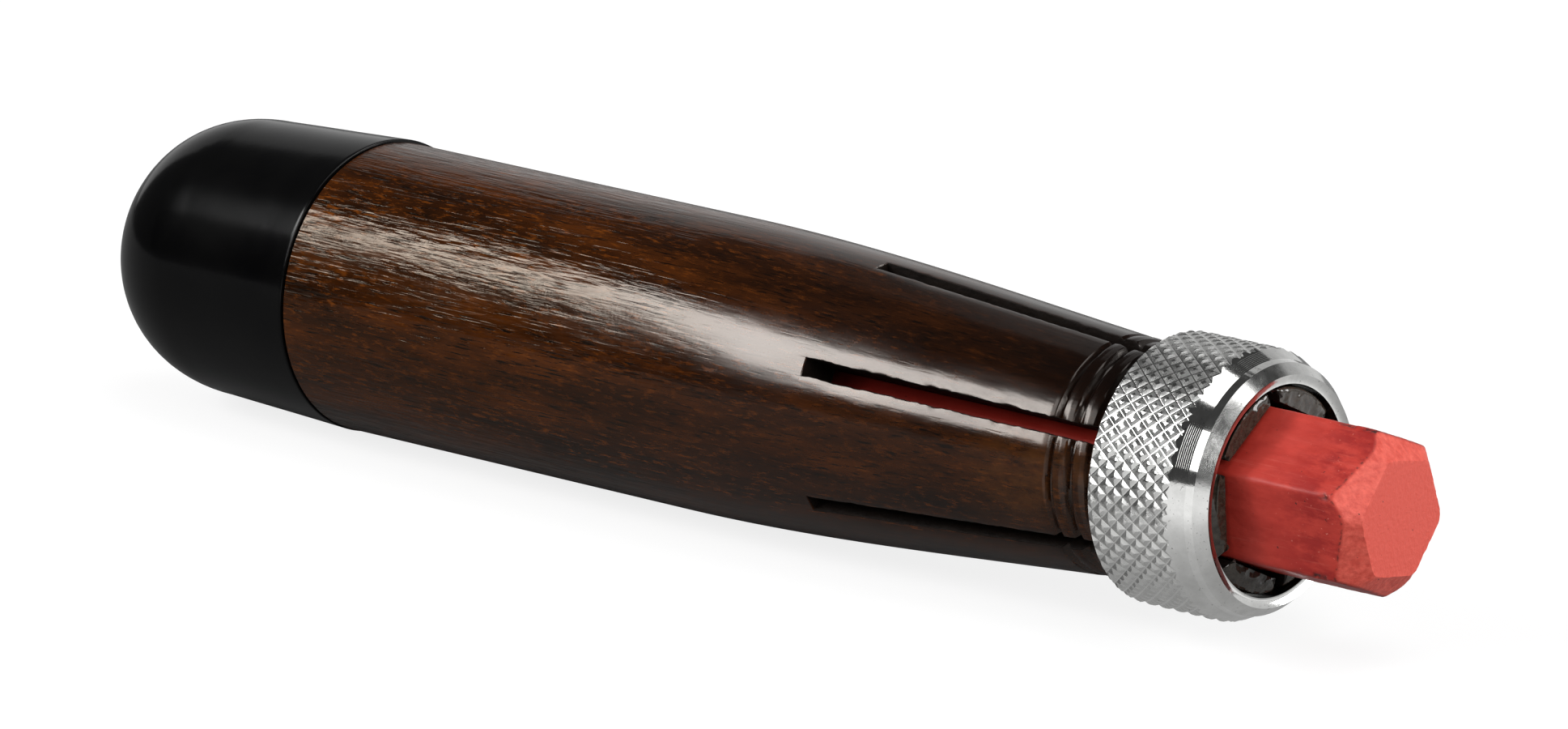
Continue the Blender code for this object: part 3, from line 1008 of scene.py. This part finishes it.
def varnished_wood():
    """Dark walnut under a gloss varnish, rough where it is thin at the rear."""
    f = Finish("varnished_walnut")
    pore_noise = f.noise(2.6, 0.19, 3.0, 0.6, 9.1)
    waves = f.noise(9.0, 2.6, 2.0, 0.5, 1.5)
    thin = f.along(24, 52, 1.0, 0.1)
    streaks = f.bump(f.noise(4.5, 0.5, 2.5, 0.5, 5.5), 0.085, thin)
    groove_noise = f.noise(6.0, 0.24, 2.0, 0.5, 6.1)
    grooves = f.bump(f.mask(groove_noise, 0.76, 0.58), 0.026, thin, streaks)
    pits = f.bump(f.mask(pore_noise, 0.76, 0.58), 0.009, thin, grooves)
    sparkles = f.bump(f.noise(0.3, 0.45, 1.0, 0.5, 8.3), 0.007, thin, pits)
    thread = (THREAD_START - 0.4, THREAD_START + 0.4)
    gloss = f.mask(thin, 0.0, 1.0, 0.175, 0.135)
    gloss = f.math("ADD", gloss, f.mask(waves, 0.3, 0.7, -0.03, 0.03))
    coat = f.mask(thin, 0.0, 1.0, 0.5, 0.34)
    return f.done(
        Base_Color=walnut_colour(f, pore_noise),
        Roughness=f.along(*thread, gloss, 0.19),
        Normal=f.bump(waves, 0.1, 0.5, sparkles),
        Specular_IOR_Level=f.along(*thread, coat, 0.38),
        Specular_Tint=f.mix(thin, (1.0, 0.93, 0.88), (1.0, 0.82, 0.62)),
    )


def sawn_wood_painted_shade():
    """Sawn wood of the slots, their edges and the bore, painted near-black as shade."""
    f = Finish("sawn_walnut_painted_shade")
    fibres = f.noise(3.0, 0.3, 4.0, 0.7)
    colour = f.ramp(fibres, [(0.3, (0.003, 0.0019, 0.0014)), (0.7, (0.01, 0.006, 0.004))])
    normal = f.bump(f.noise(0.8, 0.8, 3.0, 0.6, 2.0), 0.2, 0.6)
    return f.done(Base_Color=colour, Roughness=0.6, Normal=normal, Specular_IOR_Level=0.12)


def sealed_wood():
    """End grain of the jaws under lumpy varnish."""
    f = Finish("sealed_end_grain")
    fibres = f.noise(1.0, 0.5, 4.0, 0.7, 1.1)
    colour = f.ramp(fibres, [(0.3, (0.012, 0.008, 0.005)), (0.7, (0.055, 0.046, 0.035))])
    normal = f.bump(f.noise(1.5, 1.5, 1.5, 0.5, 2.0), 0.28, 0.7)
    return f.done(Base_Color=colour, Roughness=0.1, Normal=normal, Specular_IOR_Level=0.6)


def aluminium(name, roughness, brightness):
    """Bright aluminium with a few fine pits."""
    f = Finish(name)
    cloud = f.noise(1.2, 1.2, 3.0, 0.6)
    dull = [brightness * share for share in (0.92, 0.92, 0.9)]
    bright = [brightness * share for share in (1.08, 1.08, 1.06)]
    pit_noise = f.noise(0.22, 0.22, 2.0, 0.5, 4.2)
    metal = f.ramp(cloud, [(0.3, dull), (0.7, bright)])
    return f.done(
        Base_Color=f.mix(f.mask(pit_noise, 0.68, 0.78), metal, (0.16, 0.16, 0.15)),
        Metallic=1.0,
        Roughness=f.mask(cloud, 0.3, 0.7, 0.8 * roughness, 1.2 * roughness),
        Normal=f.bump(pit_noise, 0.008, 0.3),
    )


def ring_finishes():
    """Finishes of the ring, with the roughness and brightness of each."""
    looks = {"turned": (0.1, 0.79), "knurled": (0.27, 0.66), "burnished": (0.18, 0.76),
             "polished": (0.09, 0.86), "satin": (0.2, 0.8)}
    return [aluminium(name + "_aluminium", *look) for name, look in looks.items()]


def black_vinyl():
    """Satin black dipped vinyl."""
    f = Finish("satin_vinyl")
    cloud = f.noise(7.0, 7.0, 3.0, 0.6)
    colour = f.ramp(cloud, [(0.3, (0.0014, 0.0014, 0.0016)), (0.7, (0.0026, 0.0026, 0.0026))])
    sheen = f.mask(cloud, 0.3, 0.7, 0.13, 0.17)
    normal = f.bump(f.noise(0.9, 0.9, 2.0, 0.5, 1.3), 0.012, 0.3)
    return f.done(Base_Color=colour, Roughness=sheen, Normal=normal, Specular_IOR_Level=0.15)


def wax_colour(f, inside):
    """Mottled red wax with rubbed patches, pale scratches and dust, and painted shade inside the
    holder.
    """
    cloud = f.noise(3.5, 1.6, 5.0, 0.65)
    colour = f.ramp(cloud, [(0.3, (0.37, 0.0215, 0.013)), (0.7, (0.5, 0.041, 0.027))])
    near_tip = f.along(CRAYON_TIP - 9, CRAYON_TIP - 4)
    patches = f.mask(f.noise(4.0, 1.8, 5.0, 0.7, 3.1), 0.42, 0.55)
    colour = f.mix(f.multiply(patches, near_tip), colour, (0.29, 0.01, 0.007))
    scratches = f.mask(f.noise(6.0, 0.2, 3.0, 0.6, 6.6), 0.6, 0.74)
    colour = f.mix(f.multiply(scratches, 0.35), colour, (0.55, 0.11, 0.08))
    # Painted shade: the wax is darkened inside the holder, more the deeper it sits.
    deep_inside_shade = f.along(NOSE_END - 15, NOSE_END - 38)
    inside_painted_shade = f.math("ADD", f.multiply(inside, 0.5), f.multiply(deep_inside_shade, 0.2))
    colour = f.mix(inside_painted_shade, colour, (0.03, 0.002, 0.0015))
    dust = f.mask(f.noise(0.35, 0.25, 2.0, 0.5, 1.9), 0.7, 0.78)
    return f.mix(f.multiply(dust, near_tip), colour, (0.75, 0.28, 0.22))


def red_wax():
    """Red lumber wax, paler where it is shaved, with black specks of dirt."""
    f = Finish("rubbed_red_wax")
    attributes = [f.node("ShaderNodeAttribute", attribute_name=mark) for mark in CRAYON_MARKS]
    shaved, chipped, tip = [attribute.outputs["Fac"] for attribute in attributes]
    inside = f.along(NOSE_END - 1.5, NOSE_END - 4.5)
    torn_noise = f.noise(2.4, 0.5, 4.0, 0.65, 5.0)
    torn = f.ramp(torn_noise, [(0.35, (0.6, 0.066, 0.045)), (0.65, (0.78, 0.125, 0.088))])
    colour = f.mix(shaved, wax_colour(f, inside), torn)
    colour = f.mix(tip, colour, (0.67, 0.091, 0.064))
    speck_noise = f.noise(0.5, 0.4, 2.0, 0.5, 8.8)
    edge = f.multiply(f.mask(shaved, 0.5, 0.0), f.mask(shaved, 0.0, 0.12))
    line = f.multiply(edge, f.mask(speck_noise, 0.5, 0.6))
    colour = f.mix(line, colour, (0.035, 0.01, 0.008))
    chips = f.multiply(chipped, f.mask(speck_noise, 0.35, 0.5))
    colour = f.mix(chips, colour, (0.03, 0.008, 0.007))
    colour = f.mix(f.mask(speck_noise, 0.74, 0.77), colour, (0.02, 0.006, 0.005))
    rubbed = f.bump(f.noise(1.6, 0.5, 4.0, 0.65, 2.2), 0.06, 0.35)
    normal = f.bump(f.multiply(torn_noise, shaved), 0.16, 0.6, rubbed)
    gloss = f.mask(inside, 0.0, 1.0, 0.35, 0.05)
    return f.done(Base_Color=colour, Roughness=0.5, Normal=normal, Specular_IOR_Level=gloss)


def matt(finish, colour, glow):
    """Finish a plain matt surface with a white glow."""
    return finish.done(Base_Color=colour, Roughness=1.0, Specular_IOR_Level=0.0,
                       Emission_Color=WHITE, Emission_Strength=glow)


def stage_object(name, points, faces, material):
    mesh = bpy.data.meshes.new(name)
    mesh.from_pydata(points, [], faces)
    mesh.materials.append(material)
    made = new_object(name, mesh)
    return made


def floor():
    """White paper, pale enough to read as white around the shadow."""
    f = Finish("white_paper")
    paper = matt(f, FLOOR_GREY, f.rays(0.0, FLOOR_GLOW, 0.0))
    half = FLOOR_HALF
    corners = [(-half, -half, 0), (half, -half, 0), (half, half, 0), (-half, half, 0)]
    stage_object("floor", corners, [(0, 1, 2, 3)], paper)


def unseen(made):
    """Keep a studio card out of everything but reflections."""
    for rays in ("camera", "diffuse", "transmission", "shadow"):
        setattr(made, "visible_" + rays, False)
    return made


def ring_card():
    """White card lying round the ring and turned up at its front edge.

    It brightens the ring's lower reflections and is darker where the ring's shadow falls."""
    f = Finish("white_card")
    from_ring = f.math("ABSOLUTE", f.axis("Y"))
    card = matt(f, CARD_BLACK, f.mask(from_ring, *CARD_SHADOW, *CARD_GLOW))
    outline = [(CARD_LEFT + x, y) for x, y in CARD_EDGE]
    outline += [(CARD_RIGHT, CARD_EDGE[-1][1]), (CARD_RIGHT, CARD_EDGE[0][1])]
    points = [(x, y, CARD_HEIGHT) for x, y in outline]
    points += [(x, y, CARD_LIP) for x, y in outline[3:5]]
    unseen(stage_object("ring_card", points, [range(len(outline)), (3, 4, 7, 6)], card))


def dark_room():
    """The unlit part of the studio, seen only in reflections.

    It leaves out a pale backdrop and a strip of roof light."""
    points = []
    for elevation in np.radians(np.linspace(0.0, 90.0, ROOM_ROWS)):
        flat = ROOM_RADIUS * cos(elevation)
        z = ROOM_RADIUS * sin(elevation)
        for azimuth in np.radians(np.linspace(0.0, 360.0, ROOM_COLUMNS, endpoint=False)):
            points.append((flat * sin(azimuth), -flat * cos(azimuth), z))
    faces = []
    for face in grid_faces(np.arange(len(points)).reshape(ROOM_ROWS, ROOM_COLUMNS), True):
        x, y, z = np.mean([points[number] for number in face], axis=0) / ROOM_RADIUS
        backdrop = y > BACKDROP_FRONT and z < BACKDROP_TOP
        skylight = SKYLIGHT_SIDES[0] < x < SKYLIGHT_SIDES[1] and y > SKYLIGHT_FRONT
        if not (backdrop or skylight):
            faces.append(face)
    unlit = matt(Finish("unlit_room"), CARD_BLACK, ROOM_GLOW)
    unseen(stage_object("dark_room", points, faces, unlit))


def white_world():
    """White to the camera, a softer fill for surfaces, fading upwards in reflections."""
    world = bpy.data.worlds.new("studio")
    bpy.context.scene.world = world
    world.use_nodes = True
    nodes = Nodes(world.node_tree, "Generated")
    fade = nodes.mask(nodes.axis("Z"), 0.0, WORLD_FADE_TOP, *WORLD_FADE)
    background = world.node_tree.nodes["Background"]
    nodes.set(background, "Color", WHITE)
    nodes.set(background, "Strength", nodes.rays(WORLD_FILL, 1.0 - WORLD_FILL, fade))


def studio_axes(turn, rise):
    """Right, up and outward directions, turned to the side and raised about X from the front."""
    turn, rise = radians(turn), radians(rise)
    side = sin(turn)
    right = Vector((cos(turn), side * cos(rise), -side * sin(rise)))
    up = Vector((0.0, sin(rise), cos(rise)))
    return right, up, right.cross(up)


def soft_box(name, turn, rise, distance, size, radiance):
    """Rectangular soft light shining at the holder."""
    right, up, out = studio_axes(turn, rise)
    lamp = bpy.data.lights.new(name, "AREA")
    lamp.shape = "RECTANGLE"
    lamp.size, lamp.size_y = size
    lamp.energy = radiance * pi * size[0] * size[1]
    made = new_object(name, lamp)
    made.rotation_euler = Matrix((right, up, out)).transposed().to_euler()
    made.location = CAMERA_TARGET + out * distance


def studio_flag(name, corners):
    """Black flag with its corners at the given turns and rises."""
    points = [CAMERA_TARGET + FLAG_DISTANCE * studio_axes(*corner)[2] for corner in corners]
    black = matt(Finish(name), CARD_BLACK, 0.0)
    made = unseen(stage_object(name, points, [range(len(points))], black))
    made.visible_shadow = True


def lights():
    """Soft window behind two flags, a dimmer pane beside it, and three fills."""
    for name, lamp in LAMPS.items():
        soft_box(name, *lamp)
    for name, corners in FLAGS.items():
        studio_flag(name, corners)


def photo_camera():
    data = bpy.data.cameras.new("photo_camera")
    data.sensor_fit = "HORIZONTAL"
    data.sensor_width = SENSOR_WIDTH
    data.lens = SENSOR_WIDTH * PHOTO_FOCAL_PX / PHOTO_WIDTH_PX
    data.clip_start, data.clip_end = CAMERA_CLIP
    azimuth = radians(CAMERA_AZIMUTH)
    elevation = radians(CAMERA_ELEVATION)
    flat = cos(elevation)
    back = Vector((sin(azimuth) * flat, -cos(azimuth) * flat, sin(elevation)))
    made = new_object("photo_camera", data)
    made.location = CAMERA_TARGET + back * CAMERA_DISTANCE
    made.rotation_euler = back.to_track_quat("Z", "Y").to_euler()
    bpy.context.scene.camera = made


def main():
    handle([varnished_wood(), sawn_wood_painted_shade(), sealed_wood()])
    locking_ring(ring_finishes())
    end_cap(black_vinyl())
    crayon(red_wax())
    floor()
    ring_card()
    dark_room()
    white_world()
    lights()
    photo_camera()
    bpy.context.scene.view_settings.view_transform = "Standard"


main()
